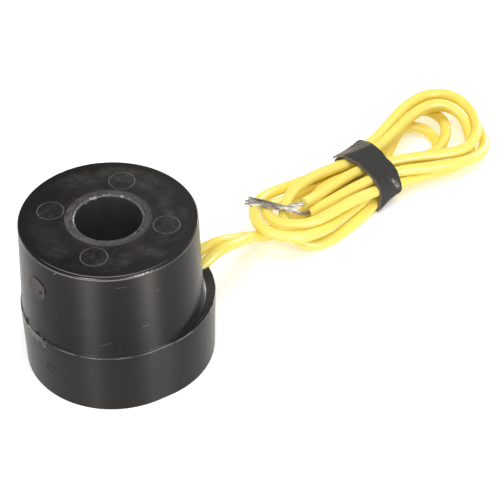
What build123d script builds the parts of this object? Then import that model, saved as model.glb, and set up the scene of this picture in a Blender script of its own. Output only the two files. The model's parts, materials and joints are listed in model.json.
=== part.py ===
from build123d import *
import os
import math

os.makedirs("parts", exist_ok=True)

# ---------------------------------------------------------------------------
# Encapsulated solenoid coil with two stranded flying leads tied in a hank.
# Frame: origin on the bore axis in the base plane, +Z up the bore, millimetres.
# ---------------------------------------------------------------------------

# moulded body
HEIGHT = 42.4            # base to top face
LEDGE_Z = 17.8           # parting plane: top of the collar
BARREL_TOP_R = 21.5      # barrel, top
BARREL_FOOT_R = 22.5     # barrel, where it meets the ledge (draft)
TOP_EDGE_R = 0.55        # rounding of the top rim
FOOT_FILLET = 0.95       # fillet between barrel and ledge
COLLAR_R1 = 22.84        # collar outline: hull of two circles
COLLAR_R2 = 22.28
COLLAR_DX = 3.22
COLLAR_DY = 0.90
COLLAR_INSET = 0.25      # draft of the collar, at the base
RIM_R = 0.22             # rounding of the collar's upper rim

# bobbin
BORE_R = 8.1
BORE_CHAMFER = 0.3       # at the mouth in the top face
TUBE_R = 9.4
END_RING_R = 10.4        # tube ends, flush with the body's faces
FLANGE_R = 17.4
FLANGE_T = 1.5
FLANGE_LOW_Z = 3.0
FLANGE_HIGH_Z = 39.4     # upper face of the upper flange
SLOT_W = 0.8             # start-wire slot in the lower flange

# winding and its wrap
WINDING_R = 16.2
TAPE_T = 0.3

# marks of the moulding tool
PIN_RING_R = 3.18        # ejector-pin witness, on the top face
PIN_RING_AT = 14.16
PIN_RING_AZ = (-15.9, 74.1, 164.1, -105.9)
GROOVE_W = 0.28
GROOVE_D = 0.12
GATE_AZ = -143.8
GATE_Z = 33.2
GATE_R = 3.05
SIDE_RING_AZ = -136.0
SIDE_RING_Z = 9.2
SIDE_RING_R = 1.35
FLASH_AZ = ((-162.0, -158.8, 0.45, 0.30), (-147.5, -138.5, 0.55, 0.35))   # from, to, below and above the ledge

# leads
LEAD_D = 3.1             # insulation outside diameter
CORE_D = 1.3             # stranded conductor
MAGNET_WIRE_D = 0.5

# route of each lead from its exit in the ledge to the hank
ROUTE_A = [
    (23.25, 8.45, 17.79), (26.00, 10.10, 19.44), (29.24, 12.64, 19.37),
    (32.66, 16.08, 17.80), (34.98, 20.16, 14.98), (36.35, 24.44, 11.47),
    (38.13, 28.76, 7.90), (42.31, 33.01, 5.27),
]
ROUTE_B = [
    (21.00, 12.00, 17.79), (23.68, 13.25, 19.06), (27.70, 15.53, 18.87),
    (30.75, 18.68, 16.55), (32.45, 22.58, 13.26), (33.79, 26.73, 9.72),
    (36.05, 30.84, 6.27), (40.45, 34.35, 3.08),
]
# the same leads inside the body, from the exit to the splice
INNER_A = [(21.00, 7.10, 16.44), (19.25, -2.60, 13.10), (17.55, -8.30, 12.40)]
INNER_B = [(17.25, 10.25, 16.01), (17.95, 3.00, 9.60), (19.00, -3.60, 7.20), (16.95, -9.45, 6.90)]
SPLICE_A_TO = (13.35, -14.10, 12.20)
SPLICE_B_TO = (12.20, -15.05, 6.70)

# hank, in bundle coordinates: u along the bundle, v across it
HANK_AZ = 34.0
LEFT_LOBE = [(48.5, 2.2), (51.0, -5.2), (56.0, -7.9), (64.0, -8.5), (73.0, -8.3), (81.0, -6.9), (88.5, -5.7),
             (88.5, 13.5), (83.0, 14.8), (76.0, 16.5), (68.0, 17.4), (60.0, 16.8), (53.5, 13.2), (49.5, 8.4)]
RIGHT_LOBE = [(96.7, -5.7), (101.0, -6.5), (107.0, -9.1), (114.0, -11.0), (122.0, -11.2), (129.0, -9.6), (135.0, -4.6),
              (139.0, 3.0), (139.8, 11.0), (137.0, 18.2), (130.0, 21.4), (122.0, 22.2), (113.0, 20.6),
              (106.0, 17.4), (101.0, 14.8), (96.7, 13.5)]
LEFT_TOP = 9.9
RIGHT_TOP = 12.4
WAIST_V = (-5.7, 13.5)
WAIST_Z = (1.1, 10.7)
TIE_U = (88.5, 96.7)     # tie width 8.2
TIE_T = 1.1
WAIST_R = 2.6            # corner radius of the waist section

# stripped ends lying on the hank
STRIP_A = [(53.05, 38.25, 10.62), (51.33, 37.69, 10.70), (49.34, 37.17, 10.80), (47.46, 36.40, 11.10),
           (45.74, 36.82, 10.75), (43.81, 37.78, 10.60), (41.74, 38.80, 10.70), (39.59, 39.13, 11.20),
           (36.88, 39.80, 11.30)]
STRIP_B = [(54.86, 37.60, 9.80), (52.95, 35.30, 10.60), (50.95, 34.30, 11.30), (48.86, 34.71, 11.70),
           (47.27, 35.15, 12.30), (45.55, 36.61, 12.00), (43.82, 38.02, 11.60), (41.79, 39.27, 11.40),
           (39.67, 39.88, 11.70), (37.48, 40.48, 11.80)]


def pt(p):
    return Vector(*p)


def corner_radii(points):
    """0.45 of the shorter run, over the tangent of half the turn."""
    out = []
    for a, b, c in zip(points[:-2], points[1:-1], points[2:]):
        u = pt(b) - pt(a)
        v = pt(c) - pt(b)
        turn = math.radians(u.get_angle(v))
        out.append(0.45 * min(u.length, v.length) / math.tan(turn / 2))
    return out


def tube(points, d, name=""):
    radii = corner_radii(points)
    path = FilletPolyline(*[pt(p) for p in points], radius=radii)
    start = Plane(origin=path @ 0, z_dir=path % 0)
    body = sweep(start * Circle(d / 2), path=path)
    ideal = math.pi * d * d / 4 * path.length
    if name:
        print(name, "length %.1f" % path.length, "volume/ideal %.4f" % (body.volume / ideal),
              "radii", [round(r, 1) for r in radii])
    return body


def rod(a, b, r):
    d = pt(b) - pt(a)
    return Plane(origin=pt(a), z_dir=d) * extrude(Circle(r), d.length)


def save(shape, name, colour):
    solids = shape.solids()
    s = solids[0] if len(solids) == 1 else Compound(children=list(solids))
    s.label = name
    s.color = colour
    export_step(s, "parts/%s.step" % name)
    return s


def uv(u, v, z=0.0):
    a = math.radians(HANK_AZ)
    return (u * math.cos(a) - v * math.sin(a), u * math.sin(a) + v * math.cos(a), z)


# ---------------------------------------------------------------- bobbin
def bobbin_shape():
    top_in = FLANGE_HIGH_Z - FLANGE_T
    prof = Polyline(
        (BORE_R, 0), (END_RING_R, 0), (END_RING_R, FLANGE_LOW_Z),
        (FLANGE_R, FLANGE_LOW_Z), (FLANGE_R, FLANGE_LOW_Z + FLANGE_T), (TUBE_R, FLANGE_LOW_Z + FLANGE_T),
        (TUBE_R, top_in), (FLANGE_R, top_in), (FLANGE_R, FLANGE_HIGH_Z), (END_RING_R, FLANGE_HIGH_Z),
        (END_RING_R, HEIGHT), (BORE_R + BORE_CHAMFER, HEIGHT), (BORE_R, HEIGHT - BORE_CHAMFER), close=True)
    body = revolve(Plane.XZ * make_face(prof), Axis.Z)
    az = math.degrees(math.atan2(SPLICE_B_TO[1], SPLICE_B_TO[0]))
    slot = Rot(0, 0, az) * Pos((TUBE_R + FLANGE_R) / 2 + 1.0, 0, FLANGE_LOW_Z + FLANGE_T / 2) * Box(
        FLANGE_R - TUBE_R + 2.0, SLOT_W, FLANGE_T)
    return body - slot


bobbin = bobbin_shape()

z0 = FLANGE_LOW_Z + FLANGE_T
z1 = FLANGE_HIGH_Z - FLANGE_T
winding = Pos(0, 0, z0) * extrude(Circle(WINDING_R) - Circle(TUBE_R), z1 - z0)
tape = Pos(0, 0, z0) * extrude(Circle(WINDING_R + TAPE_T) - Circle(WINDING_R), z1 - z0)


# ---------------------------------------------------------------- leads inside the body
def inner_lead(exit_pt, inner):
    return tube([exit_pt] + inner, LEAD_D)


def along(a, b, s):
    d = (pt(b) - pt(a)).normalized()
    p = pt(a) + d * s
    return (p.X, p.Y, p.Z)


inner_a = inner_lead(ROUTE_A[0], INNER_A)
inner_b = inner_lead(ROUTE_B[0], INNER_B)


def splice_set(end, to):
    """stripped core, crimp barrel and sleeve, in line from the end of the insulation"""
    core = rod(end, along(end, to, 3.6), CORE_D / 2)
    crimp = rod(along(end, to, 0.6), along(end, to, 6.6), 1.2)
    crimp = crimp - core
    bore2 = rod(along(end, to, 4.4), along(end, to, 6.6), MAGNET_WIRE_D / 2)
    crimp = crimp - bore2
    sleeve = rod(along(end, to, -3.0), along(end, to, 7.2), LEAD_D / 2 + 0.4)
    sleeve = sleeve - rod(along(end, to, -3.0), along(end, to, 7.2), LEAD_D / 2)
    return core, crimp, sleeve


core_a, splice_a, sleeve_a = splice_set(INNER_A[-1], SPLICE_A_TO)
core_b, splice_b, sleeve_b = splice_set(INNER_B[-1], SPLICE_B_TO)
core_a = core_a - inner_a
core_b = core_b - inner_b
# the sleeve's straight bore is opened to the lead where the lead starts to bend
sleeve_a = sleeve_a - inner_a
sleeve_b = sleeve_b - inner_b
if len(sleeve_a.solids()) > 1:
    sleeve_a = max(sleeve_a.solids(), key=lambda s: s.volume)
if len(sleeve_b.solids()) > 1:
    sleeve_b = max(sleeve_b.solids(), key=lambda s: s.volume)

# finish wire: from the crimp on to the outside of the winding, under the last turn of tape
azf = math.atan2(SPLICE_A_TO[1], SPLICE_A_TO[0]) - math.radians(34)
rf = WINDING_R + TAPE_T + MAGNET_WIRE_D / 2 + 0.05
finish_pts = [along(INNER_A[-1], SPLICE_A_TO, 4.4), along(INNER_A[-1], SPLICE_A_TO, 9.6),
              (rf * math.cos(azf) * 1.02, rf * math.sin(azf) * 1.02, 12.6),
              (rf * math.cos(azf - 0.30), rf * math.sin(azf - 0.30), 13.4)]
finish_tail = tube(finish_pts, MAGNET_WIRE_D) - tape

# start wire: from the crimp down to the flange slot and in to the first turn
azs = math.atan2(SPLICE_B_TO[1], SPLICE_B_TO[0])
sz = FLANGE_LOW_Z + FLANGE_T / 2
start_pts = [along(INNER_B[-1], SPLICE_B_TO, 4.4), along(INNER_B[-1], SPLICE_B_TO, 8.6),
             (18.6 * math.cos(azs), 18.6 * math.sin(azs), sz + 0.9),
             (16.4 * math.cos(azs), 16.4 * math.sin(azs), sz),
             (10.2 * math.cos(azs), 10.2 * math.sin(azs), sz + 0.001)]
start_tail = tube(start_pts, MAGNET_WIRE_D)


# ---------------------------------------------------------------- encapsulation
def collar_outline(z, inset):
    r1, r2 = COLLAR_R1 - inset, COLLAR_R2 - inset
    d = math.hypot(COLLAR_DX, COLLAR_DY)
    th = math.atan2(COLLAR_DY, COLLAR_DX)
    be = math.acos((r1 - r2) / d)

    def on(cx, cy, r, a):
        return (cx + r * math.cos(a), cy + r * math.sin(a), z)
    a1 = on(0, 0, r1, th + be)
    a2 = on(0, 0, r1, th + math.pi)
    a3 = on(0, 0, r1, th - be)
    b1 = on(COLLAR_DX, COLLAR_DY, r2, th - be)
    b2 = on(COLLAR_DX, COLLAR_DY, r2, th)
    b3 = on(COLLAR_DX, COLLAR_DY, r2, th + be)
    return Wire([ThreePointArc(a1, a2, a3), Line(a3, b1), ThreePointArc(b1, b2, b3), Line(b3, a1)])


collar = Solid.make_loft([collar_outline(0, COLLAR_INSET), collar_outline(LEDGE_Z, 0)], ruled=True)
rim = collar.edges().filter_by(lambda e: abs(e.center().Z - LEDGE_Z) < 1e-3)
collar = fillet(rim, RIM_R)

barrel_prof = Polyline((0, LEDGE_Z - 6), (BARREL_FOOT_R - 0.9, LEDGE_Z - 6), (BARREL_FOOT_R, LEDGE_Z), (BARREL_TOP_R, HEIGHT), (0, HEIGHT), close=True)
barrel = revolve(Plane.XZ * make_face(barrel_prof), Axis.Z)
top_edge = barrel.edges().filter_by(GeomType.CIRCLE).sort_by(Axis.Z)[-1]
barrel = fillet(top_edge, TOP_EDGE_R)

# concave fillet at the foot of the barrel, only where the ledge is there to carry it
f = FOOT_FILLET
fil_prof = make_face([Line((BARREL_FOOT_R - 0.3, LEDGE_Z - 0.2), (BARREL_FOOT_R + f, LEDGE_Z - 0.2)),
                      Line((BARREL_FOOT_R + f, LEDGE_Z - 0.2), (BARREL_FOOT_R + f, LEDGE_Z)),
                      ThreePointArc((BARREL_FOOT_R + f, LEDGE_Z), (BARREL_FOOT_R + f * (1 - math.sin(math.pi / 4)) - 0.01, LEDGE_Z + f * (1 - math.cos(math.pi / 4))), (BARREL_FOOT_R - 0.04, LEDGE_Z + f)),
                      Line((BARREL_FOOT_R - 0.04, LEDGE_Z + f), (BARREL_FOOT_R - 0.3, LEDGE_Z + f)),
                      Line((BARREL_FOOT_R - 0.3, LEDGE_Z + f), (BARREL_FOOT_R - 0.3, LEDGE_Z - 0.2))])
foot = revolve(Plane.XZ * fil_prof, Axis.Z)
limit = Pos(0, 0, -2) * extrude(make_face(collar_outline(LEDGE_Z, RIM_R + 0.02)), 4)
foot = foot & limit

body = collar + barrel + foot

# shallow witness rings left by the ejector pins
for az in PIN_RING_AZ:
    a = math.radians(az)
    ring = Pos(PIN_RING_AT * math.cos(a), PIN_RING_AT * math.sin(a), HEIGHT - GROOVE_D) * extrude(
        Circle(PIN_RING_R + GROOVE_W / 2) - Circle(PIN_RING_R - GROOVE_W / 2), 1.0)
    body = body - ring


def radial_plane(az, z, r):
    a = math.radians(az)
    return Plane(origin=(r * math.cos(a), r * math.sin(a), z), z_dir=(math.cos(a), math.sin(a), 0), x_dir=(0, 0, 1))


# gate vestige on the barrel: a low disc with a broken-off nub
gz = BARREL_TOP_R + (BARREL_FOOT_R - BARREL_TOP_R) * (HEIGHT - GATE_Z) / (HEIGHT - LEDGE_Z)
gp = radial_plane(GATE_AZ, GATE_Z, gz - 1.0)
body = body + gp * extrude(Circle(GATE_R), 1.03)
nub = radial_plane(GATE_AZ + 2.8, GATE_Z - 0.9, gz - 1.0)
body = body + nub * extrude(Circle(0.5), 1.4, taper=8)
# small pin mark on the collar
sp = radial_plane(SIDE_RING_AZ, SIDE_RING_Z, COLLAR_R1 - 0.13 - GROOVE_D)
body = body - sp * extrude(Circle(SIDE_RING_R) - Circle(SIDE_RING_R - 0.22), 1.0)
# scraps of flash at the parting line
rr = COLLAR_R1 + 0.08


def polar(r, a):
    return (r * math.cos(a), r * math.sin(a))


for az_a, az_b, low, high in FLASH_AZ:
    fl_a, fl_b = math.radians(az_a), math.radians(az_b)
    flash = make_face([ThreePointArc(polar(rr, fl_a), polar(rr, (fl_a + fl_b) / 2), polar(rr, fl_b)),
                       Line(polar(rr, fl_b), polar(rr - 1.2, fl_b)),
                       ThreePointArc(polar(rr - 1.2, fl_b), polar(rr - 1.2, (fl_a + fl_b) / 2), polar(rr - 1.2, fl_a)),
                       Line(polar(rr - 1.2, fl_a), polar(rr, fl_a))])
    body = body + Pos(0, 0, LEDGE_Z - low) * extrude(flash, low + high)

# leads inside the moulding, and the first millimetres outside where they leave at a slant
run_a_full = tube(ROUTE_A, LEAD_D, "lead_a run")
run_b_full = tube(ROUTE_B, LEAD_D, "lead_b run")

# everything buried in the moulding is taken out of it
solid_bobbin = Pos(0, 0, 0) * extrude(Circle(END_RING_R), HEIGHT)
solid_bobbin = solid_bobbin + Pos(0, 0, FLANGE_LOW_Z) * extrude(Circle(FLANGE_R), FLANGE_T)
solid_bobbin = solid_bobbin + Pos(0, 0, z1) * extrude(Circle(FLANGE_R), FLANGE_T)
solid_bobbin = solid_bobbin + Pos(0, 0, z0) * extrude(Circle(WINDING_R + TAPE_T), z1 - z0)
sleeve_plug_a = rod(along(INNER_A[-1], SPLICE_A_TO, -3.0), along(INNER_A[-1], SPLICE_A_TO, 7.2), LEAD_D / 2 + 0.4)
sleeve_plug_b = rod(along(INNER_B[-1], SPLICE_B_TO, -3.0), along(INNER_B[-1], SPLICE_B_TO, 7.2), LEAD_D / 2 + 0.4)
body = body - solid_bobbin
for c in (inner_a, inner_b, sleeve_plug_a, sleeve_plug_b, run_a_full, run_b_full, start_tail, finish_tail):
    body = body - c
encapsulation = max(body.solids(), key=lambda s: s.volume)
print("encapsulation solids", len(body.solids()), [round(s.volume, 3) for s in body.solids()])


# ---------------------------------------------------------------- hank
def prism(points, z_low, z_high, r):
    pl = Polyline(*[uv(u, v, z_low) for u, v in points], close=True)
    face = make_face(pl)
    return extrude(face, z_high - z_low, dir=(0, 0, 1))


left = prism(LEFT_LOBE, 0, LEFT_TOP, 0)
right = prism(RIGHT_LOBE, 0, RIGHT_TOP, 0)


def soften(solid, z_top, amount, skip_u):
    a = math.radians(HANK_AZ)
    es = [e for e in solid.edges() if abs(e.center().Z - z_top) < 1e-3
          and abs((e.center().X * math.cos(a) + e.center().Y * math.sin(a)) - skip_u) > 0.3]
    return chamfer(es, amount)


left = soften(left, LEFT_TOP, 2.0, TIE_U[0])
right = soften(right, RIGHT_TOP, 2.0, TIE_U[1])
a = math.radians(HANK_AZ)
mid_v = (WAIST_V[0] + WAIST_V[1]) / 2
mid_z = (WAIST_Z[0] + WAIST_Z[1]) / 2
waist_plane = Plane(origin=uv(TIE_U[0], mid_v, mid_z), x_dir=(-math.sin(a), math.cos(a), 0), z_dir=(math.cos(a), math.sin(a), 0))
waist = waist_plane * extrude(RectangleRounded(WAIST_V[1] - WAIST_V[0], WAIST_Z[1] - WAIST_Z[0], WAIST_R), TIE_U[1] - TIE_U[0])
hank = left + right + waist
# last runs of the leads, on top of the left-hand loops, ending where they are stripped
bar_a = rod((60.4, 44.1, 9.6), STRIP_A[0], LEAD_D / 2)
bar_b = rod((61.6, 41.9, 9.6), STRIP_B[0], LEAD_D / 2)
hank = hank + bar_a + bar_b
strip_a = tube(STRIP_A, CORE_D, "conductor_end_a")
strip_b = tube(STRIP_B, CORE_D, "conductor_end_b")
strip_a = strip_a - hank
strip_b = strip_b - hank - strip_a
strip_a = max(strip_a.solids(), key=lambda s: s.volume)
strip_b = max(strip_b.solids(), key=lambda s: s.volume)
run_a = run_a_full - hank - inner_a
run_b = run_b_full - hank - inner_b
run_a = max(run_a.solids(), key=lambda s: s.volume)
run_b = max(run_b.solids(), key=lambda s: s.volume)
print("hank solids", len(hank.solids()), "volume", round(hank.volume, 1))

tie_plane = waist_plane
outer = RectangleRounded(WAIST_V[1] - WAIST_V[0] + 2 * TIE_T, WAIST_Z[1] - WAIST_Z[0] + 2 * TIE_T, WAIST_R + TIE_T)
inner = RectangleRounded(WAIST_V[1] - WAIST_V[0], WAIST_Z[1] - WAIST_Z[0], WAIST_R)
tie = tie_plane * extrude(outer - inner, TIE_U[1] - TIE_U[0])

BLACK = Color(0.06, 0.06, 0.06)
YELLOW = Color(0.95, 0.85, 0.3)
parts = {
    "encapsulation": (encapsulation, BLACK),
    "bobbin": (bobbin, Color(0.25, 0.22, 0.25)),
    "winding": (winding, Color(0.6, 0.3, 0.12)),
    "winding_tape": (tape, Color(0.85, 0.8, 0.5)),
    "start_tail": (start_tail, Color(0.7, 0.3, 0.1)),
    "finish_tail": (finish_tail, Color(0.75, 0.35, 0.1)),
    "splice_a": (splice_a, Color(0.7, 0.7, 0.7)),
    "splice_b": (splice_b, Color(0.7, 0.7, 0.7)),
    "splice_sleeve_a": (sleeve_a, Color(0.9, 0.9, 0.85)),
    "splice_sleeve_b": (sleeve_b, Color(0.9, 0.9, 0.85)),
    "lead_a_core": (core_a, Color(0.8, 0.8, 0.8)),
    "lead_b_core": (core_b, Color(0.8, 0.8, 0.8)),
    "lead_a_inner": (inner_a, YELLOW),
    "lead_b_inner": (inner_b, YELLOW),
    "lead_a_run": (run_a, YELLOW),
    "lead_b_run": (run_b, YELLOW),
    "lead_hank": (hank, YELLOW),
    "conductor_end_a": (strip_a, Color(0.8, 0.8, 0.8)),
    "conductor_end_b": (strip_b, Color(0.8, 0.8, 0.8)),
    "tie_strap": (tie, Color(0.1, 0.1, 0.1)),
}
for name, (shape, colour) in parts.items():
    save(shape, name, colour)
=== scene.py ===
import bpy, json, math, random
import numpy as np
from mathutils import Matrix, Vector


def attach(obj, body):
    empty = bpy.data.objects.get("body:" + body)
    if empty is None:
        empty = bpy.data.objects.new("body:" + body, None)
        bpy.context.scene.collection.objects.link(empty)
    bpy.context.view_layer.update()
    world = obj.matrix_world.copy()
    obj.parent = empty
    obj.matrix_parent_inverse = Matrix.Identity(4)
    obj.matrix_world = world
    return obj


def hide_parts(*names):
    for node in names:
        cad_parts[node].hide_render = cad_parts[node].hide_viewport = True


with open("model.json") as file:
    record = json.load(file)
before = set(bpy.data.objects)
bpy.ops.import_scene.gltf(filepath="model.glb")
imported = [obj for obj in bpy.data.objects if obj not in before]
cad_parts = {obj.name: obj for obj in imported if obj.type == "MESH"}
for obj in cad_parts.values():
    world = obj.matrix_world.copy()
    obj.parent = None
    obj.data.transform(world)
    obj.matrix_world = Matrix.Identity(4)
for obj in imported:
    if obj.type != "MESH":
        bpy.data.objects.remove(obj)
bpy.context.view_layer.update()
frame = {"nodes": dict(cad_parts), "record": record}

MM = 0.001
rng = np.random.default_rng(7)

# ------------------------------------------------------------------ camera
# position and axes in the part's own frame (metres)
cam_at = Vector((0.0, -0.283226, 0.282235))
cam_right = Vector((0.993914, -0.109631, 0.010773))
cam_up = Vector((0.064758, 0.660594, 0.747945))
cam_fwd = Vector((0.089115, 0.742695, -0.663673))
cam = bpy.data.cameras.new("camera")
cam.sensor_width = 36.0
cam.sensor_fit = "HORIZONTAL"
cam.lens = 1557.2 / 500.0 * 36.0
cam.clip_start = 0.01
cam_ob = bpy.data.objects.new("camera", cam)
bpy.context.scene.collection.objects.link(cam_ob)
m = Matrix.Identity(4)
for i in range(3):
    m[i][0], m[i][1], m[i][2], m[i][3] = cam_right[i], cam_up[i], -cam_fwd[i], cam_at[i]
cam_ob.matrix_world = m
bpy.context.scene.camera = cam_ob

# ------------------------------------------------------------------ routes of the two leads
# control points in millimetres, from the exit in the ledge, through the hank, to the stripped end
LEAD_A = [
    (23.25, 8.45, 17.79), (26.00, 10.10, 19.44), (29.24, 12.64, 19.37), (32.66, 16.08, 17.80), (34.98, 20.16, 14.98),
    (36.35, 24.44, 11.47), (38.13, 28.76, 7.90), (42.31, 33.01, 5.27), (49.38, 38.09, 4.74), (56.04, 44.11, 3.66),
    (62.73, 49.90, 2.68), (69.53, 55.51, 2.65), (75.66, 61.92, 2.72), (80.21, 69.63, 2.00), (83.48, 77.86, 1.55),
    (87.19, 85.25, 1.57), (91.76, 87.70, 2.16), (95.59, 87.66, 2.74), (98.94, 85.40, 3.31), (101.58, 79.97, 3.80),
    (100.00, 71.31, 4.15), (95.17, 64.00, 4.64), (87.31, 60.22, 5.52), (79.29, 56.41, 4.93), (72.88, 50.42, 3.27),
    (67.24, 43.91, 1.84), (62.24, 40.37, 2.50), (59.20, 39.94, 3.85), (57.30, 41.63, 5.68), (57.40, 45.58, 7.47),
    (62.82, 50.92, 6.93), (70.14, 55.70, 5.73), (76.76, 61.64, 5.84), (82.33, 68.56, 6.71), (87.84, 75.65, 7.38),
    (94.29, 81.79, 7.69), (101.42, 84.02, 6.84), (106.36, 82.13, 5.10), (108.87, 76.71, 3.00), (106.85, 68.69, 1.60),
    (100.61, 62.28, 1.49), (92.63, 58.99, 2.94), (84.28, 55.52, 5.61), (76.46, 50.60, 5.78), (70.08, 43.85, 4.63),
    (63.83, 37.84, 5.28), (58.09, 31.51, 6.43), (51.34, 26.79, 8.38), (44.41, 26.40, 9.80), (39.88, 30.27, 10.43),
    (39.06, 36.94, 9.60), (41.30, 44.97, 7.38), (47.02, 50.78, 5.37), (55.11, 54.23, 5.16), (63.33, 57.05, 6.35),
    (71.04, 61.08, 7.57), (77.63, 66.81, 8.55), (83.12, 73.77, 8.91), (88.41, 80.89, 8.96), (94.93, 86.44, 8.96),
    (101.45, 87.56, 8.92), (106.17, 84.70, 8.54), (109.04, 77.59, 8.38), (108.76, 68.76, 8.63), (104.10, 61.38, 8.08),
    (96.70, 58.50, 8.54), (87.67, 57.53, 8.94), (78.75, 55.92, 8.83), (70.26, 52.78, 9.15), (62.97, 47.24, 9.21),
    (56.56, 41.44, 9.83), (53.05, 38.25, 10.57),
]
LEAD_B = [
    (21.00, 12.00, 17.79), (23.68, 13.25, 19.06), (27.70, 15.53, 18.87), (30.75, 18.68, 16.55), (32.45, 22.58, 13.26),
    (33.79, 26.73, 9.72), (36.05, 30.84, 6.27), (40.45, 34.35, 3.08), (48.22, 37.31, 1.44), (56.76, 41.21, 1.62),
    (64.38, 46.95, 2.82), (71.58, 53.24, 3.35), (78.26, 60.13, 3.26), (82.78, 68.59, 3.48), (86.70, 76.09, 4.32),
    (91.07, 78.43, 3.94), (94.57, 78.32, 2.91), (97.11, 76.21, 2.02), (98.01, 72.48, 1.61), (96.30, 67.40, 1.52),
    (89.16, 61.81, 1.99), (81.88, 55.37, 2.59), (76.24, 47.70, 2.75), (69.79, 40.79, 2.27), (62.75, 34.43, 1.73),
    (56.33, 30.47, 1.99), (51.88, 30.14, 3.32), (48.74, 31.65, 5.51), (47.16, 35.12, 8.17), (48.40, 40.55, 10.18),
    (53.87, 47.60, 10.47), (61.43, 53.05, 9.61), (69.89, 57.22, 8.85), (77.67, 62.38, 9.10), (84.21, 69.07, 9.89),
    (90.58, 75.81, 10.90), (96.87, 79.24, 11.32), (101.92, 79.01, 10.47), (105.85, 75.68, 8.19), (106.93, 68.41, 5.05),
    (104.41, 62.28, 3.56), (98.90, 58.14, 3.41), (90.71, 54.99, 4.52), (82.78, 51.04, 5.25), (75.59, 46.01, 7.26),
    (68.31, 41.17, 8.89), (61.31, 35.65, 9.52), (54.18, 30.99, 9.41), (47.92, 30.85, 9.43), (43.87, 33.82, 9.15),
    (42.49, 38.59, 8.33), (44.42, 43.72, 6.19), (50.06, 48.45, 3.27), (57.32, 53.43, 2.45), (65.06, 57.73, 3.33),
    (72.58, 62.21, 4.63), (78.68, 68.55, 5.54), (83.67, 76.04, 5.80), (89.38, 83.14, 5.86), (96.33, 88.45, 5.99),
    (103.10, 89.76, 5.51), (108.59, 86.12, 4.14), (111.75, 78.19, 2.73), (111.63, 69.19, 2.93), (107.67, 61.42, 4.79),
    (100.55, 56.72, 6.45), (91.70, 54.31, 7.54), (82.86, 52.49, 8.52), (74.45, 49.23, 8.97), (66.59, 44.58, 8.90),
    (59.30, 39.96, 8.29), (54.86, 38.35, 7.17),
]
# the stripped conductors beyond the cut insulation
STRIP_A_REST = [(51.33, 37.69, 10.70), (49.34, 37.17, 10.80), (47.46, 36.40, 11.10), (45.74, 36.82, 10.75),
                (43.81, 37.78, 10.60), (41.74, 38.80, 10.70), (39.59, 39.13, 11.20), (36.88, 39.80, 11.30)]
STRIP_B_REST = [(52.85, 36.24, 8.60), (50.74, 35.26, 10.30), (48.86, 34.71, 11.70), (47.27, 35.15, 12.30),
                (45.55, 36.61, 12.00), (43.82, 38.02, 11.60), (41.79, 39.27, 11.40), (39.67, 39.88, 11.70),
                (37.48, 40.48, 11.80)]

LEAD_D = 3.1
CORE_D = 1.3


def link(ob):
    bpy.context.scene.collection.objects.link(ob)
    return ob


def nurbs(name, pts, bevel=0.0, caps=True):
    cu = bpy.data.curves.new(name, "CURVE")
    cu.dimensions = "3D"
    sp = cu.splines.new("NURBS")
    sp.points.add(len(pts) - 1)
    for i, (p, q) in enumerate(zip(sp.points, pts)):
        p.co = (q[0] * MM, q[1] * MM, q[2] * MM, 1.0)
        # bevel depth is 1, so the point's radius is the cord's; the first four points are drawn up to 7 % thinner,
        # because the leads look narrower there than in the hank
        p.radius = max(bevel * (0.985, 0.94, 0.93, 0.96)[i] if i < 4 else bevel, 1e-5)
    sp.order_u = 3
    sp.use_endpoint_u = True
    sp.resolution_u = 10
    cu.resolution_u = 10
    cu.bevel_depth = 1.0 if bevel else 0.0
    cu.bevel_resolution = 7
    cu.use_fill_caps = caps
    return link(bpy.data.objects.new(name, cu))


def line_of(ob):
    """the smooth centreline of a curve object, as points in millimetres"""
    keep = ob.data.bevel_depth
    ob.data.bevel_depth = 0.0
    bpy.context.view_layer.update()
    me = bpy.data.meshes.new_from_object(ob.evaluated_get(bpy.context.evaluated_depsgraph_get()))
    ob.data.bevel_depth = keep
    pts = np.array([v.co[:] for v in me.vertices]) / MM
    bpy.data.meshes.remove(me)
    return pts


def length_of(p):
    return float(np.linalg.norm(np.diff(p, axis=0), axis=1).sum())


def resample(p, step):
    s = np.r_[0, np.cumsum(np.linalg.norm(np.diff(p, axis=0), axis=1))]
    n = max(2, int(round(s[-1] / step)) + 1)
    t = np.linspace(0, s[-1], n)
    return np.stack([np.interp(t, s, p[:, k]) for k in range(3)], -1), t


def frames(p):
    t = np.gradient(p, axis=0)
    t /= np.linalg.norm(t, axis=1)[:, None]
    n = np.zeros_like(p)
    a = np.cross(t[0], [0, 0, 1.0])
    n[0] = a / np.linalg.norm(a)
    for i in range(1, len(p)):
        v = n[i - 1] - t[i] * (n[i - 1] @ t[i])
        n[i] = v / np.linalg.norm(v)
    return t, n, np.cross(t, n)


def mesh(name, verts, faces, smooth=True):
    me = bpy.data.meshes.new(name)
    me.from_pydata([tuple(v) for v in np.asarray(verts) * MM], [], faces)
    me.validate()
    if smooth:
        me.polygons.foreach_set("use_smooth", [True] * len(me.polygons))
    me.update()
    return link(bpy.data.objects.new(name, me))


def grid_faces(n, m, close=True, base=0):
    out = []
    for i in range(n - 1):
        for j in range(m if close else m - 1):
            k = (j + 1) % m
            out.append((base + i * m + j, base + i * m + k, base + (i + 1) * m + k, base + (i + 1) * m + j))
    return out


# ------------------------------------------------------------------ materials
def material(name):
    mt = bpy.data.materials.new(name)
    mt.use_nodes = True
    nt = mt.node_tree
    for n in list(nt.nodes):
        nt.nodes.remove(n)
    out = nt.nodes.new("ShaderNodeOutputMaterial")
    bs = nt.nodes.new("ShaderNodeBsdfPrincipled")
    nt.links.new(bs.outputs[0], out.inputs[0])
    return mt, nt, bs


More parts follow.
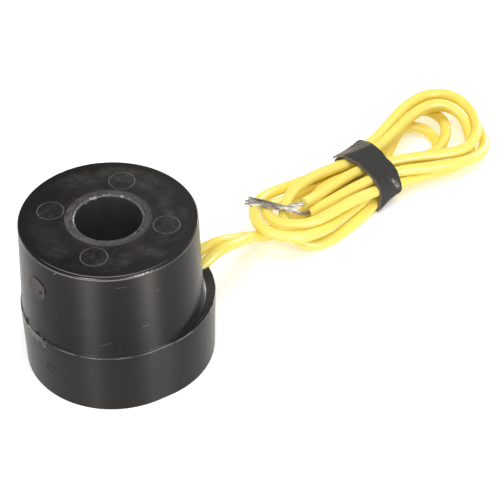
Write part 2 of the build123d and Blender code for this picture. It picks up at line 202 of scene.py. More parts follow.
class G:
    """a few helpers for node graphs"""

    def __init__(self, nt):
        self.nt = nt

    def add(self, kind, **kw):
        n = self.nt.nodes.new(kind)
        for k, v in kw.items():
            setattr(n, k, v)
        return n

    def link(self, a, b):
        self.nt.links.new(a, b)

    def coord(self, which="Object"):
        return self.add("ShaderNodeTexCoord").outputs[which]

    def noise(self, vec, scale, detail=3.0, rough=0.5, dist=0.0):
        n = self.add("ShaderNodeTexNoise")
        n.inputs["Scale"].default_value = scale
        n.inputs["Detail"].default_value = detail
        n.inputs["Roughness"].default_value = rough
        n.inputs["Distortion"].default_value = dist
        self.link(vec, n.inputs["Vector"])
        return n.outputs["Fac"]

    def voronoi(self, vec, scale, feature="F1", rand=1.0):
        n = self.add("ShaderNodeTexVoronoi", feature=feature)
        n.inputs["Scale"].default_value = scale
        n.inputs["Randomness"].default_value = rand
        self.link(vec, n.inputs["Vector"])
        return n.outputs["Distance"]

    def math(self, op, a, b=None, clamp=False):
        n = self.add("ShaderNodeMath", operation=op, use_clamp=clamp)
        for i, v in enumerate((a, b)):
            if v is None:
                continue
            if isinstance(v, (int, float)):
                n.inputs[i].default_value = v
            else:
                self.link(v, n.inputs[i])
        return n.outputs[0]

    def ramp(self, fac, stops):
        n = self.add("ShaderNodeValToRGB")
        cr = n.color_ramp
        while len(cr.elements) < len(stops):
            cr.elements.new(0.5)
        for e, (p, c) in zip(cr.elements, stops):
            e.position = p
            e.color = (c, c, c, 1) if isinstance(c, (int, float)) else (*c, 1)
        self.link(fac, n.inputs[0])
        return n.outputs[0]

    def range(self, v, a, b, c, d):
        n = self.add("ShaderNodeMapRange", clamp=True)
        for i, x in zip((1, 2, 3, 4), (a, b, c, d)):
            n.inputs[i].default_value = x
        self.link(v, n.inputs[0])
        return n.outputs[0]

    def mix(self, fac, a, b):
        n = self.add("ShaderNodeMix", data_type="RGBA")
        for s, v in ((n.inputs[0], fac), (n.inputs[6], a), (n.inputs[7], b)):
            if isinstance(v, (int, float)):
                s.default_value = v
            elif isinstance(v, tuple):
                s.default_value = (*v, 1)
            else:
                self.link(v, s)
        return n.outputs[2]

    def bump(self, h, strength, dist, normal=None):
        n = self.add("ShaderNodeBump")
        n.inputs["Strength"].default_value = strength
        n.inputs["Distance"].default_value = dist
        self.link(h, n.inputs["Height"])
        if normal is not None:
            self.link(normal, n.inputs["Normal"])
        return n.outputs[0]

    def scaled(self, vec, xyz):
        n = self.add("ShaderNodeVectorMath", operation="MULTIPLY")
        n.inputs[1].default_value = xyz
        self.link(vec, n.inputs[0])
        return n.outputs[0]

    def combine(self, a, b, c):
        n = self.add("ShaderNodeCombineXYZ")
        for i, v in enumerate((a, b, c)):
            self.link(v, n.inputs[i])
        return n.outputs[0]

    def separate(self, vec):
        n = self.add("ShaderNodeSeparateXYZ")
        self.link(vec, n.inputs[0])
        return n.outputs


def mat_moulding():
    mt, nt, bs = material("black_moulding")
    g = G(nt)
    ob = g.coord()
    x, y, z = g.separate(ob)[:3]
    rad = g.math("SQRT", g.math("ADD", g.math("MULTIPLY", x, x), g.math("MULTIPLY", y, y)))
    top = g.range(z, 0.04215, 0.04235, 0.0, 1.0)
    # cloudy handling marks and a dusty bloom, kept to the flat of the top face
    cloud = g.noise(ob, 95.0, 5.0, 0.62, 0.6)
    fine = g.noise(ob, 1500.0, 3.0, 0.6)
    swirl = g.noise(g.scaled(ob, (1.0, 2.2, 1.0)), 300.0, 7.0, 0.72, 1.6)
    bloom = g.math("MULTIPLY", g.range(cloud, 0.42, 0.70, 0.0, 1.0), g.range(swirl, 0.36, 0.68, 0.1, 1.0))
    flat = g.math("MULTIPLY", g.range(rad, 0.0186, 0.0196, 1.0, 0.0), g.range(rad, 0.0112, 0.0150, 0.25, 1.0))
    # the bloom is scaled up towards +x, so the top face grows lighter on that side
    bloom = g.math("MULTIPLY", bloom, g.range(x, -0.016, 0.018, 0.5, 2.6))
    bloom_top = g.math("MULTIPLY", g.math("MULTIPLY", bloom, flat), top)
    side = g.math("MULTIPLY", g.range(swirl, 0.62, 0.78, 0.0, 0.22), g.math("SUBTRACT", 1.0, top))
    specks = g.math("MULTIPLY", g.range(g.voronoi(ob, 520.0), 0.03, 0.07, 1.0, 0.0),
                    g.range(g.noise(ob, 150.0, 2.0, 0.5), 0.56, 0.68, 0.0, 1.0))
    base = g.mix(g.math("ADD", bloom_top, side, clamp=True), (0.0044, 0.0040, 0.0035), (0.046, 0.044, 0.040))
    base = g.mix(g.range(z, 0.012, 0.020, 0.55, 0.0), base, (0.023, 0.022, 0.0205))
    # the top face's colour is mixed lighter towards +x
    base = g.mix(g.math("MULTIPLY", g.range(x, -0.006, 0.018, 0.0, 0.28), top), base, (0.046, 0.044, 0.040))
    base = g.mix(g.math("MULTIPLY", specks, 0.55), base, (0.20, 0.19, 0.17))
    # dust in the ejector-pin rings: the four are folded onto one
    turn = math.radians(15.9)
    px_ = g.math("ABSOLUTE", g.math("SUBTRACT", g.math("MULTIPLY", x, math.cos(turn)), g.math("MULTIPLY", y, math.sin(turn))))
    py_ = g.math("ABSOLUTE", g.math("ADD", g.math("MULTIPLY", x, math.sin(turn)), g.math("MULTIPLY", y, math.cos(turn))))
    hi = g.math("SUBTRACT", g.math("MAXIMUM", px_, py_), 0.01416)
    lo = g.math("MINIMUM", px_, py_)
    dd = g.math("SQRT", g.math("ADD", g.math("MULTIPLY", hi, hi), g.math("MULTIPLY", lo, lo)))
    ring = g.range(g.math("ABSOLUTE", g.math("SUBTRACT", dd, 0.00318)), 0.00009, 0.00019, 1.0, 0.0)
    ring = g.math("MULTIPLY", g.math("MULTIPLY", ring, g.range(z, 0.0421, 0.0422, 0.0, 1.0)), g.range(swirl, 0.3, 0.6, 0.45, 1.0))
    inside = g.math("MULTIPLY", g.math("MULTIPLY", g.range(dd, 0.0026, 0.0031, 1.0, 0.0), top), g.range(fine, 0.5, 0.66, 0.0, 1.0))
    base = g.mix(g.math("MULTIPLY", inside, 0.45), base, (0.060, 0.056, 0.050))
    base = g.mix(g.math("MULTIPLY", ring, 0.85), base, (0.185, 0.175, 0.155))
    # thin film of flash round the bobbin
    film = g.math("MULTIPLY", g.range(rad, 0.0110, 0.0121, 1.0, 0.0), top)
    base = g.mix(g.math("MULTIPLY", film, g.range(swirl, 0.4, 0.65, 0.05, 0.55)), base, (0.040, 0.028, 0.024))
    # ragged flash at the seam, paler than the body: partly the flash's own scuffed grey, partly painted glints
    turn_az = g.math("ARCTAN2", y, x)
    seam_flash_and_glint = g.math("MULTIPLY", g.range(turn_az, math.radians(-171.0), math.radians(-166.0), 0.0, 1.0), g.range(turn_az, math.radians(-139.5), math.radians(-136.0), 1.0, 0.0))
    seam_flash_and_glint = g.math("MULTIPLY", seam_flash_and_glint, g.math("MULTIPLY", g.range(z, 0.0150, 0.0162, 0.0, 1.0), g.range(z, 0.0182, 0.0188, 1.0, 0.0)))
    seam_flash_and_glint = g.math("MULTIPLY", seam_flash_and_glint, g.range(g.noise(ob, 900.0, 5.0, 0.7, 1.0), 0.48, 0.62, 0.0, 1.0))
    base = g.mix(g.math("MULTIPLY", seam_flash_and_glint, 0.8), base, (0.24, 0.23, 0.21))
    # gate vestige: brownish disc on the barrel
    az = math.radians(-143.8)
    gp = g.add("ShaderNodeVectorMath", operation="DISTANCE")
    g.link(ob, gp.inputs[0])
    gp.inputs[1].default_value = (0.02185 * math.cos(az), 0.02185 * math.sin(az), 0.0332)
    disc = g.range(g.math("ADD", gp.outputs["Value"], g.math("MULTIPLY", g.math("SUBTRACT", swirl, 0.5), 0.0012)), 0.0024, 0.0034, 1.0, 0.0)
    base = g.mix(g.math("MULTIPLY", disc, 0.8), base, (0.034, 0.022, 0.019))
    # scratches, each a line between two points on the surface
    marks = None
    for p, q, wd, amt in (((0.62, -21.61, 39.37), (3.07, -21.39, 39.44), 0.055, 0.55),
                          ((9.93, -19.38, 35.59), (11.14, -18.69, 35.82), 0.05, 0.7),
                          ((6.32, -21.23, 26.19), (8.12, -20.60, 26.22), 0.06, 0.75),
                          ((-3.62, -22.05, 21.59), (-1.37, -22.25, 22.60), 0.05, 0.6),
                          ((-13.25, -17.01, 40.78), (-12.66, -17.41, 41.50), 0.09, 1.0),
                          ((-14.00, -18.12, 2.20), (-13.82, -18.25, 2.30), 0.12, 1.0)):
        a_, b_ = Vector(p) * MM, Vector(q) * MM
        ab = b_ - a_
        rel = g.add("ShaderNodeVectorMath", operation="SUBTRACT")
        g.link(ob, rel.inputs[0]); rel.inputs[1].default_value = a_
        dot = g.add("ShaderNodeVectorMath", operation="DOT_PRODUCT")
        g.link(rel.outputs[0], dot.inputs[0]); dot.inputs[1].default_value = ab / ab.length_squared
        t = g.math("ADD", dot.outputs["Value"], 0.0, clamp=True)
        sc = g.add("ShaderNodeVectorMath", operation="SCALE")
        sc.inputs[0].default_value = ab; g.link(t, sc.inputs["Scale"])
        ds = g.add("ShaderNodeVectorMath", operation="DISTANCE")
        g.link(rel.outputs[0], ds.inputs[0]); g.link(sc.outputs[0], ds.inputs[1])
        one = g.range(ds.outputs["Value"], wd * MM, wd * 2.2 * MM, amt, 0.0)
        marks = one if marks is None else g.math("MAXIMUM", marks, one)
    hair = g.range(g.math("ABSOLUTE", g.math("SUBTRACT", g.noise(g.scaled(ob, (0.35, 1.0, 2.6)), 210.0, 2.0, 0.5, 0.4), 0.5)), 0.0, 0.0035, 1.0, 0.0)
    hair = g.math("MULTIPLY", hair, g.range(g.noise(ob, 130.0, 2.0, 0.5), 0.60, 0.70, 0.0, 0.5))
    marks = g.math("MAXIMUM", marks, hair)
    base = g.mix(marks, base, (0.115, 0.108, 0.098))
    # painted highlights on the front of the top rim's rounded edge and along the collar's rim fillet
    wob = g.noise(ob, 380.0, 4.0, 0.7)
    east = g.math("DIVIDE", x, g.math("MAXIMUM", rad, 0.001))
    south = g.math("MULTIPLY", g.math("DIVIDE", y, g.math("MAXIMUM", rad, 0.001)), -1.0)
    # the top rim's painted highlight is kept to the front of the rim
    front = g.range(g.math("ADD", south, g.math("MULTIPLY", east, -0.12)), 0.68, 0.97, 0.0, 1.0)
    # two thin painted highlight lines on the top rim's rounded edge
    painted_rim_highlight_inner = g.range(g.math("ABSOLUTE", g.math("SUBTRACT", rad, 0.02090)), 0.00006, 0.00016, 0.7, 0.0)
    painted_rim_highlight_outer = g.range(g.math("ABSOLUTE", g.math("SUBTRACT", z, 0.04176)), 0.00008, 0.00022, 0.8, 0.0)
    painted_rim_highlight_inner = g.math("MULTIPLY", g.math("MULTIPLY", painted_rim_highlight_inner, g.range(z, 0.0421, 0.0422, 0.0, 1.0)), front)
    painted_rim_highlight_outer = g.math("MULTIPLY", g.math("MULTIPLY", painted_rim_highlight_outer, g.range(rad, 0.0200, 0.0202, 0.0, 1.0)), g.math("ADD", g.math("MULTIPLY", front, 0.8), 0.06))
    # a thin painted highlight along the collar's rim fillet
    painted_collar_rim_highlight = g.math("MULTIPLY", g.range(z, 0.01745, 0.01758, 0.0, 1.0), g.range(z, 0.01776, 0.01781, 1.0, 0.0))
    painted_collar_rim_highlight = g.math("MULTIPLY", painted_collar_rim_highlight, g.range(wob, 0.35, 0.65, 0.10, 0.55))
    # rim gathers all the painted rim highlights, mixed into the base colour below
    rim = g.math("MAXIMUM", g.math("MAXIMUM", painted_rim_highlight_inner, painted_rim_highlight_outer), painted_collar_rim_highlight)
    rim = g.math("MULTIPLY", rim, g.range(wob, 0.30, 0.60, 0.82, 1.0))
    base = g.mix(g.math("MULTIPLY", rim, 0.9), base, (0.36, 0.34, 0.315))
    g.link(base, bs.inputs["Base Color"])
    wall = g.range(z, 0.0412, 0.0420, 1.0, 0.0)
    rough = g.math("ADD", g.range(cloud, 0.3, 0.75, 0.27, 0.36), g.math("MULTIPLY", bloom_top, 0.22))
    rough = g.math("ADD", rough, g.math("MULTIPLY", disc, 0.15))
    rough = g.math("ADD", rough, g.math("MULTIPLY", g.math("SUBTRACT", fine, 0.5), 0.05))
    rough = g.math("ADD", rough, g.math("MULTIPLY", wall, 0.36))
    g.link(rough, bs.inputs["Roughness"])
    h = g.math("ADD", g.noise(ob, 55.0, 2.0, 0.5), g.math("MULTIPLY", fine, 0.04))
    g.link(g.bump(h, 0.06, 0.0006), bs.inputs["Normal"])
    bs.inputs["IOR"].default_value = 1.30
    g.link(g.range(z, 0.010, 0.040, 0.20, 0.55), bs.inputs["Specular IOR Level"])
    bs.inputs["Specular Tint"].default_value = (1.0, 0.965, 0.92, 1.0)
    bs.inputs["Coat Tint"].default_value = (1.0, 0.98, 0.95, 1.0)
    g.link(g.range(z, 0.0420, 0.0423, 0.82, 0.02), bs.inputs["Coat Weight"])
    bs.inputs["Coat IOR"].default_value = 1.20
    bs.inputs["Coat Roughness"].default_value = 0.26
    # the walls have a drawn mould finish: gloss stretches along the height there
    g.link(wall, bs.inputs["Anisotropic"])
    bs.inputs["Anisotropic Rotation"].default_value = 0.25
    tn = g.add("ShaderNodeTangent", direction_type="RADIAL", axis="Z")
    g.link(tn.outputs[0], bs.inputs["Tangent"])
    return mt


def mat_bobbin():
    mt, nt, bs = material("bobbin_plastic")
    g = G(nt)
    ob = g.coord()
    x, y, z = g.separate(ob)[:3]
    xs = g.math("ADD", x, 0.0004)
    rad = g.math("SQRT", g.math("ADD", g.math("MULTIPLY", x, x), g.math("MULTIPLY", y, y)))
    rs = g.math("SQRT", g.math("ADD", g.math("MULTIPLY", xs, xs), g.math("MULTIPLY", y, y)))
    n = g.noise(ob, 420.0, 5.0, 0.65, 0.5)
    face = g.math("MULTIPLY", g.range(z, 0.0421, 0.0423, 0.0, 1.0), 1.0)
    clear = g.range(g.math("ADD", rs, g.math("MULTIPLY", n, 0.0006)), 0.01005, 0.01035, 1.0, 0.0)
    base = g.mix(g.range(n, 0.3, 0.7, 0.0, 1.0), (0.036, 0.036, 0.035), (0.048, 0.048, 0.047))
    lit = g.mix(g.range(n, 0.35, 0.7, 0.0, 1.0), (0.022, 0.021, 0.020), (0.070, 0.067, 0.063))
    # arcs rubbed round the ring, paler at its outer edge
    drag = g.noise(g.combine(g.math("MULTIPLY", g.math("ARCTAN2", y, x), 0.0020), g.math("MULTIPLY", rs, 1.0), z), 1500.0, 4.0, 0.7, 0.6)
    lit = g.mix(g.range(drag, 0.50, 0.72, 0.0, 0.75), lit, (0.17, 0.165, 0.16))
    outer = g.range(g.math("ABSOLUTE", g.math("SUBTRACT", rs, 0.01000)), 0.00006, 0.00022, 1.0, 0.0)
    lit = g.mix(g.math("MULTIPLY", outer, g.range(n, 0.35, 0.6, 0.1, 0.6)), lit, (0.16, 0.155, 0.15))
    base = g.mix(g.math("MULTIPLY", face, clear), base, lit)
    # worn edge of the bore
    edge = g.math("MULTIPLY", g.range(g.math("ABSOLUTE", g.math("SUBTRACT", rad, 0.00833)), 0.00008, 0.00018, 1.0, 0.0),
                  g.range(z, 0.0419, 0.0421, 0.0, 1.0))
    nick = g.range(g.noise(ob, 260.0, 3.0, 0.6), 0.42, 0.62, 0.35, 1.0)
    base = g.mix(g.math("MULTIPLY", edge, nick), base, (0.15, 0.145, 0.14))
    chip = g.math("MULTIPLY", g.range(rad, 0.0086, 0.0089, 1.0, 0.0), g.math("MULTIPLY", g.range(y, 0.0035, 0.0055, 0.0, 1.0), g.range(g.noise(ob, 700.0, 4.0, 0.7), 0.56, 0.64, 0.0, 1.0)))
    base = g.mix(g.math("MULTIPLY", chip, g.range(z, 0.0415, 0.0418, 0.0, 0.8)), base, (0.45, 0.44, 0.42))
    g.link(base, bs.inputs["Base Color"])
    g.link(g.range(n, 0.2, 0.8, 0.36, 0.5), bs.inputs["Roughness"])
    g.link(g.bump(g.noise(ob, 1200.0, 3.0, 0.6), 0.2, 0.0001), bs.inputs["Normal"])
    bs.inputs["Specular IOR Level"].default_value = 0.3
    return mt


def mat_plain(name, dark, light, rough, scale=300.0, metal=0.0, bump=0.15, dist=0.0002):
    mt, nt, bs = material(name)
    g = G(nt)
    ob = g.coord()
    n = g.noise(ob, scale, 4.0, 0.6)
    g.link(g.mix(g.range(n, 0.3, 0.7, 0.0, 1.0), dark, light), bs.inputs["Base Color"])
    g.link(g.range(n, 0.2, 0.8, rough - 0.06, rough + 0.08), bs.inputs["Roughness"])
    g.link(g.bump(g.noise(ob, scale * 3, 3.0, 0.6), bump, dist), bs.inputs["Normal"])
    bs.inputs["Metallic"].default_value = metal
    return mt


def mat_winding():
    mt, nt, bs = material("enamelled_copper")
    g = G(nt)
    ob = g.coord()
    z = g.separate(ob)[2]
    wires = g.math("SINE", g.math("MULTIPLY", z, 2 * math.pi / 0.0005))
    n = g.noise(ob, 400.0)
    g.link(g.mix(g.range(n, 0.3, 0.7, 0.0, 1.0), (0.33, 0.10, 0.035), (0.62, 0.25, 0.09)), bs.inputs["Base Color"])
    g.link(g.range(n, 0.3, 0.7, 0.22, 0.36), bs.inputs["Roughness"])
    g.link(g.bump(wires, 0.8, 0.0001), bs.inputs["Normal"])
    bs.inputs["Metallic"].default_value = 1.0
    return mt


def mat_insulation():
    mt, nt, bs = material("yellow_insulation")
    g = G(nt)
    ob = g.coord()
    tone = g.noise(ob, 45.0, 3.0, 0.55)
    mott = g.noise(ob, 520.0, 4.0, 0.6)
    base = g.mix(g.range(tone, 0.3, 0.7, 0.0, 1.0), (0.93, 0.745, 0.130), (0.97, 0.805, 0.175))
    base = g.mix(g.range(mott, 0.55, 0.8, 0.0, 0.25), base, (0.97, 0.84, 0.22))
    dirt = g.range(g.noise(ob, 240.0, 5.0, 0.7, 0.8), 0.64, 0.78, 0.0, 0.45)
    base = g.mix(dirt, base, (0.60, 0.49, 0.16))
    g.link(base, bs.inputs["Base Color"])
    g.link(g.range(mott, 0.3, 0.7, 0.40, 0.52), bs.inputs["Roughness"])
    h = g.math("ADD", mott, g.math("MULTIPLY", g.noise(ob, 120.0, 2.0, 0.5), 1.5))
    g.link(g.bump(h, 0.12, 0.00025), bs.inputs["Normal"])
    bs.inputs["Subsurface Weight"].default_value = 0.28
    bs.inputs["Subsurface Radius"].default_value = (1.0, 0.62, 0.14)
    bs.inputs["Subsurface Scale"].default_value = 0.0011
    bs.inputs["IOR"].default_value = 1.46
    return mt


def mat_tinned():
    mt, nt, bs = material("tinned_strand")
    g = G(nt)
    ob = g.coord()
    n = g.noise(g.scaled(ob, (0.45, 1.0, 1.6)), 700.0, 4.0, 0.65)
    b = g.mix(g.range(n, 0.35, 0.7, 0.0, 1.0), (0.50, 0.485, 0.455), (0.12, 0.105, 0.090))
    g.link(b, bs.inputs["Base Color"])
    g.link(g.range(n, 0.3, 0.7, 0.42, 0.60), bs.inputs["Roughness"])
    g.link(g.bump(g.noise(ob, 2500.0, 2.0, 0.5), 0.25, 0.00005), bs.inputs["Normal"])
    bs.inputs["Metallic"].default_value = 1.0
    return mt


def mat_strap():
    mt, nt, bs = material("woven_strap")
    g = G(nt)
    uv = g.coord("UV")
    ob = g.coord()
    u, v = g.separate(uv)[:2]
    # cords run along the strap, picks cross them; u is in millimetres along it, v goes 0 to 1 across
    ribs = g.math("ABSOLUTE", g.math("SINE", g.math("MULTIPLY", v, math.pi * 14)))
    picks = g.math("ABSOLUTE", g.math("SINE", g.math("MULTIPLY", g.math("ADD", u, g.math("MULTIPLY", v, 3.0)), math.pi / 0.55)))
    fuzz = g.noise(ob, 2300.0, 5.0, 0.78)
    weave = g.math("MULTIPLY", g.math("ADD", g.math("MULTIPLY", ribs, 0.45), g.math("MULTIPLY", picks, 0.55)), g.range(fuzz, 0.25, 0.7, 0.3, 1.0))
    base = g.mix(weave, (0.0025, 0.0025, 0.0022), (0.050, 0.048, 0.042))
    # browner and more worn towards the free end, and along the cut edges
    tail = g.range(u, 87.2, 89.2, 0.0, 1.0)
    base = g.mix(g.math("MULTIPLY", g.math("MULTIPLY", tail, g.range(ribs, 0.35, 0.62, 1.0, 0.0)), g.range(fuzz, 0.3, 0.6, 0.6, 1.0)), base, (0.52, 0.45, 0.38))
    rim = g.math("ADD", g.range(v, 0.012, 0.03, 1.0, 0.0), g.range(v, 0.97, 0.988, 0.0, 1.0), clamp=True)
    base = g.mix(g.math("MULTIPLY", rim, g.math("MULTIPLY", g.range(fuzz, 0.3, 0.6, 0.35, 0.9), g.range(picks, 0.2, 0.7, 0.25, 1.0))), base, (0.24, 0.19, 0.155))
    lint = g.math("MULTIPLY", g.range(g.noise(ob, 1500.0, 6.0, 0.85, 1.2), 0.60, 0.72, 0.0, 1.0), g.range(g.noise(ob, 160.0, 2.0, 0.5), 0.55, 0.68, 0.05, 1.0))
    base = g.mix(g.math("MULTIPLY", lint, 0.55), base, (0.34, 0.32, 0.29))
    # a tuft of pale lint caught in the loops
    du = g.math("DIVIDE", g.math("SUBTRACT", u, 63.0), 2.5)
    dv = g.math("DIVIDE", g.math("ADD", g.math("SUBTRACT", v, 0.75), g.math("MULTIPLY", g.math("SUBTRACT", u, 63.2), 0.05)), 0.12)
    far = g.math("SQRT", g.math("ADD", g.math("MULTIPLY", du, du), g.math("MULTIPLY", dv, dv)))
    strand = g.noise(ob, 900.0, 6.0, 0.8, 2.2)
    tuft = g.math("MULTIPLY", g.range(far, 0.35, 1.25, 1.0, 0.0), g.range(strand, 0.47, 0.60, 0.0, 1.0))
    base = g.mix(g.math("MULTIPLY", tuft, 0.95), base, (0.62, 0.60, 0.56))
    g.link(base, bs.inputs["Base Color"])
    bs.inputs["Roughness"].default_value = 0.88
    bs.inputs["Specular IOR Level"].default_value = 0.25
    h = g.math("ADD", weave, g.math("MULTIPLY", fuzz, 0.6))
    g.link(g.bump(h, 0.75, 0.00018), bs.inputs["Normal"])
    bs.inputs["Sheen Weight"].default_value = 0.05
    bs.inputs["Sheen Roughness"].default_value = 0.5
    return mt


M_BODY = mat_moulding()
M_BOBBIN = mat_bobbin()
M_WIND = mat_winding()
M_TAPE = mat_plain("winding_tape", (0.62, 0.48, 0.13), (0.78, 0.63, 0.24), 0.22, 120.0)
M_SLEEVE = mat_plain("sleeve_fibre", (0.66, 0.62, 0.52), (0.82, 0.79, 0.70), 0.75, 900.0, bump=0.5)
M_YELLOW = mat_insulation()
M_TIN = mat_tinned()
M_STRAP = mat_strap()

SLOT_MATS = {"moulding": M_BODY, "bobbin_plastic": M_BOBBIN, "copper_winding": M_WIND, "tape": M_TAPE,
             "tinned_copper": M_TIN, "sleeve": M_SLEEVE, "lead_insulation": M_YELLOW, "strap": M_STRAP}
for sub in frame["record"]["subparts"]:
    ob = frame["nodes"][sub["node"]]
    mt = SLOT_MATS[sub["material_slot"]]
    if not ob.material_slots:
        ob.data.materials.append(mt)
    for s in ob.material_slots:
        s.link = "OBJECT"
        s.material = mt


def piece(ob, mt, slot, *nodes):
    if ob.data.materials:
        ob.data.materials[0] = mt
    else:
        ob.data.materials.append(mt)
    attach(ob, "root")
    if nodes:
        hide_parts(*nodes)
    return ob


# ------------------------------------------------------------------ leads
lead_a = piece(nurbs("lead_a", LEAD_A, LEAD_D / 2 * MM), M_YELLOW, "lead_insulation", "lead_a_run", "lead_hank")
lead_b = piece(nurbs("lead_b", LEAD_B, LEAD_D / 2 * MM), M_YELLOW, "lead_insulation", "lead_b_run")
line_a, line_b = line_of(lead_a), line_of(lead_b)
print("lead lengths mm", round(length_of(line_a), 1), round(length_of(line_b), 1))


# ------------------------------------------------------------------ stripped ends: seven twisted strands each
def strands(name, route, seed, splay):
    rg = np.random.default_rng(seed)
    guide = nurbs(name + "_guide", route)
    p, s = resample(line_of(guide), 0.35)
    bpy.data.objects.remove(guide)
    L = s[-1]
    t, n, b = frames(p)
    r = 0.190
    layout = [(0.0, 0.0)] + [(0.412, k * math.pi / 3 + 0.3) for k in range(6)]
    verts, faces = [], []
    seg = 10
    for k, (rad, ph) in enumerate(layout):
        cut = L - rg.uniform(0, 1.1)
        m_ = s <= cut
        pp, ss, tt, nn, bb = p[m_], s[m_], t[m_], n[m_], b[m_]
        a = ph + 2 * math.pi * ss / 11.5 + 0.12 * np.sin(ss * 0.8 + k * 1.7)
        open_ = np.clip((ss - (L - splay)) / splay, 0, 1) ** 1.6
        jit = rad * (1 + 0.06 * np.sin(ss * 0.9 + k)) + open_ * rad * rg.uniform(0.1, 0.9)
        dirn = rg.uniform(0, 2 * math.pi)
        off = open_ * rg.uniform(0.05, 0.5)
        c = pp + nn * (np.cos(a) * jit + np.cos(dirn) * off)[:, None] + bb * (np.sin(a) * jit + np.sin(dirn) * off)[:, None]
        ft, fn, fb = frames(c)
        base = len(verts)
        for i in range(len(c)):
            for q in range(seg):
                w = 2 * math.pi * q / seg
                verts.append(c[i] + r * (math.cos(w) * fn[i] + math.sin(w) * fb[i]))
        faces += grid_faces(len(c), seg, True, base)
        faces.append(tuple(base + q for q in reversed(range(seg))))
        faces.append(tuple(base + (len(c) - 1) * seg + q for q in range(seg)))
    return mesh(name, verts, faces)


STRIP_A = [tuple(line_a[-1] + (line_a[-4] - line_a[-1]) * 1.2), tuple(line_a[-1])] + STRIP_A_REST
STRIP_B = [tuple(line_b[-1] + (line_b[-4] - line_b[-1]) * 1.2), tuple(line_b[-1])] + STRIP_B_REST
cond_a = piece(strands("stripped_end_a", STRIP_A, 3, 5.0), M_TIN, "tinned_copper", "conductor_end_a")
cond_b = piece(strands("stripped_end_b", STRIP_B, 5, 4.0), M_TIN, "tinned_copper", "conductor_end_b")

# ------------------------------------------------------------------ hook-and-loop tie
# the bundle's own axes: u along it, v across it, and angles round it from +v, by way of the top, to -v
AZ = math.radians(34.0)
EU = np.array([math.cos(AZ), math.sin(AZ), 0.0])
EV = np.array([-math.sin(AZ), math.cos(AZ), 0.0])
VC, ZC = 3.9, 5.9
TH = np.radians(np.arange(-180, 180, 3.0))


def wire_outline():
    """how far out the wires reach in each direction, at stations along the bundle"""
    pts = np.vstack([line_a[100:], line_b[100:]])
    u = pts @ EU
    us = np.arange(84.0, 101.0, 1.5)
    rows = []
    for c in us:
        q = pts[(u > c - 1.6) & (u < c + 1.6)]
        q = np.stack([q @ EV - VC, q[:, 2] - ZC], -1)
        rows.append([(q @ np.array([math.cos(a), math.sin(a)])).max() + LEAD_D / 2 for a in TH])
    rows = np.array(rows)
    k = np.hanning(7)
    k /= k.sum()
    for i in range(len(rows)):
        rows[i] = np.convolve(np.r_[rows[i][-3:], rows[i], rows[i][:3]], k, "valid")
    rows = (np.vstack([rows[:1], rows[:-1]]) + 2 * rows + np.vstack([rows[1:], rows[-1:]])) / 4
    return us, rows


def build_strap():
    us, rows = wire_outline()
    T = 0.60
    # where each edge of the strap runs, against the angle unwrapped from the inner end to the free end
    knots = np.array([100, 60, 25, 0, -45, -90, -135, -170, -200, -215, -230, -275, -305, -335, -350.0])
    near_u = [87.9, 87.7, 87.7, 87.7, 87.5, 87.2, 87.0, 86.9, 86.8, 87.4, 87.5, 87.6, 86.9, 87.2, 87.5]
    far_u = [96.4, 96.6, 96.6, 96.4, 96.0, 95.7, 95.5, 95.4, 95.3, 95.6, 96.3, 96.8, 97.2, 97.1, 97.0]
    start = 100.0
    end_near, end_far = -348.5, -337.0
    n = 380
    ribs = 15
    m_out = ribs * 6 + 1
    xs = np.linspace(0.0, 1.0, m_out)
    xin = np.linspace(1.0, 0.0, 25)
    prof = [(x, 1.0) for x in xs] + [(x, 0.0) for x in xin]
    m_ = len(prof)
    C = {}
    verts, uvs = [], []
    rg = np.random.default_rng(11)
    fray = rg.uniform(-0.6, 0.6, m_out)
    dirs = np.stack([np.cos(TH), np.sin(TH)], -1)
    for i in range(n):
        f = i / (n - 1)
        for j, (x, side) in enumerate(prof):
            xi = min(int(round(x * (m_out - 1))), m_out - 1)
            end = end_near + (end_far - end_near) * x + fray[xi] * 1.2
            deg = start + (end - start) * f
            a = math.radians(deg)
            u = np.interp(-deg, -knots, near_u) * (1 - x) + np.interp(-deg, -knots, far_u) * x
            h = C.get(round(u, 1))
            if h is None:
                h = C[round(u, 1)] = np.array([np.interp(round(u, 1), us, rows[:, k]) for k in range(rows.shape[1])])
            lap = min(1.0, max(0.0, (-245.0 - deg) / 28.0))
            lap = lap * lap * (3 - 2 * lap)
            lift = min(1.0, max(0.0, (-326.0 - deg) / 22.0))
            edge = min(1.0, min(x, 1 - x) / 0.02)
            base = 0.05 + lap * (T + 0.06) + 0.22 * lift * lift
            rib = abs(math.sin(math.pi * ribs * x))
            tail = min(1.0, max(0.0, (-318.0 - deg) / 12.0))
            thick = T * (0.86 + 0.14 * rib * (0.6 + 0.4 * tail)) if side else 0.0
            if side and edge < 1:
                thick *= 0.45 + 0.55 * math.sqrt(edge)
            off = base + thick + 0.035 * math.sin(a * 7 + x * 3.0) * (1 - lap)
            c = math.cos(a), math.sin(a)
            cs = dirs @ np.array(c)
            ok = cs > 0.1
            r = float(((h[ok] + off) / cs[ok]).min())
            verts.append(u * EU + (VC + r * c[0]) * EV + np.array([0, 0, max(ZC + r * c[1], 0.02)]))
            uvs.append((f * 95.0, x))
    faces = grid_faces(n, m_)
    faces.append(tuple(reversed(range(m_))))
    faces.append(tuple((n - 1) * m_ + q for q in range(m_)))
    ob = mesh("hook_loop_tie", verts, faces)
    uvl = ob.data.uv_layers.new(name="uv")
    idx = np.empty(len(ob.data.loops), dtype=np.int32)
    ob.data.loops.foreach_get("vertex_index", idx)
    uvl.data.foreach_set("uv", np.array(uvs, dtype=np.float32)[idx].ravel())
    return ob


tie = piece(build_strap(), M_STRAP, "strap", "tie_strap")

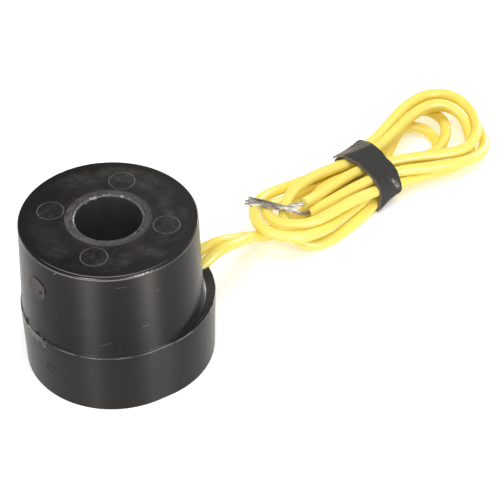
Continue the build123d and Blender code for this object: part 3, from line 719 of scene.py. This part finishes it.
# ------------------------------------------------------------------ floor and light
bpy.ops.mesh.primitive_plane_add(size=6.0, location=(0, 0, 0))
floor = bpy.context.active_object
floor.name = "floor"
fm, fnt, fb = material("pale_floor")
gg = G(fnt)
gg.link(gg.mix(gg.noise(gg.coord(), 3.0), (0.90, 0.90, 0.90), (0.93, 0.93, 0.93)), fb.inputs["Base Color"])
fb.inputs["Roughness"].default_value = 0.8
fb.inputs["Emission Color"].default_value = (1, 1, 1, 1)
fb.inputs["Emission Strength"].default_value = 0.30
floor.data.materials.append(fm)

w = bpy.data.worlds.new("studio")
bpy.context.scene.world = w
w.use_nodes = True
w.node_tree.nodes["Background"].inputs[0].default_value = (1, 1, 1, 1)
w.node_tree.nodes["Background"].inputs[1].default_value = 0.44


def softbox(name, az, el, dist, wide, tall, power, at=(0.03, 0.02, 0.02)):
    """area light at an azimuth and elevation round the object, facing it"""
    a, e = math.radians(az), math.radians(el)
    pos = Vector(at) + dist * Vector((math.cos(e) * math.cos(a), math.cos(e) * math.sin(a), math.sin(e)))
    li = bpy.data.lights.new(name, "AREA")
    li.shape = "RECTANGLE"
    li.size, li.size_y = wide, tall
    li.energy = power
    ob = link(bpy.data.objects.new(name, li))
    ob.location = pos
    ob.rotation_euler = (Vector(at) - pos).to_track_quat("-Z", "Y").to_euler()
    return ob


softbox("overhead", -80.0, 80.0, 1.2, 0.7, 0.5, 4.6)
softbox("key", -95.0, 66.0, 1.5, 1.9, 1.6, 13.5).visible_glossy = False
softbox("side_right", 35.0, 20.0, 1.2, 0.35, 0.6, 2.2)
softbox("side_left", 160.0, 20.0, 1.2, 0.35, 0.6, 1.6)
for name, az, el, wide, tall, power in (("strip_left", -118.0, 19.0, 0.14, 0.5, 19.0), ("strip_right", -52.0, 19.0, 0.12, 0.5, 27.0),
                                        ("rim_left", 158.0, 10.0, 0.16, 0.4, 1.0), ("rim_right", 46.0, 10.0, 0.10, 0.4, 9.5)):
    # long reflectors that only show as gloss
    softbox(name, az, el, 1.1, wide, tall, power).visible_diffuse = False

bpy.context.scene.view_settings.view_transform = "Standard"
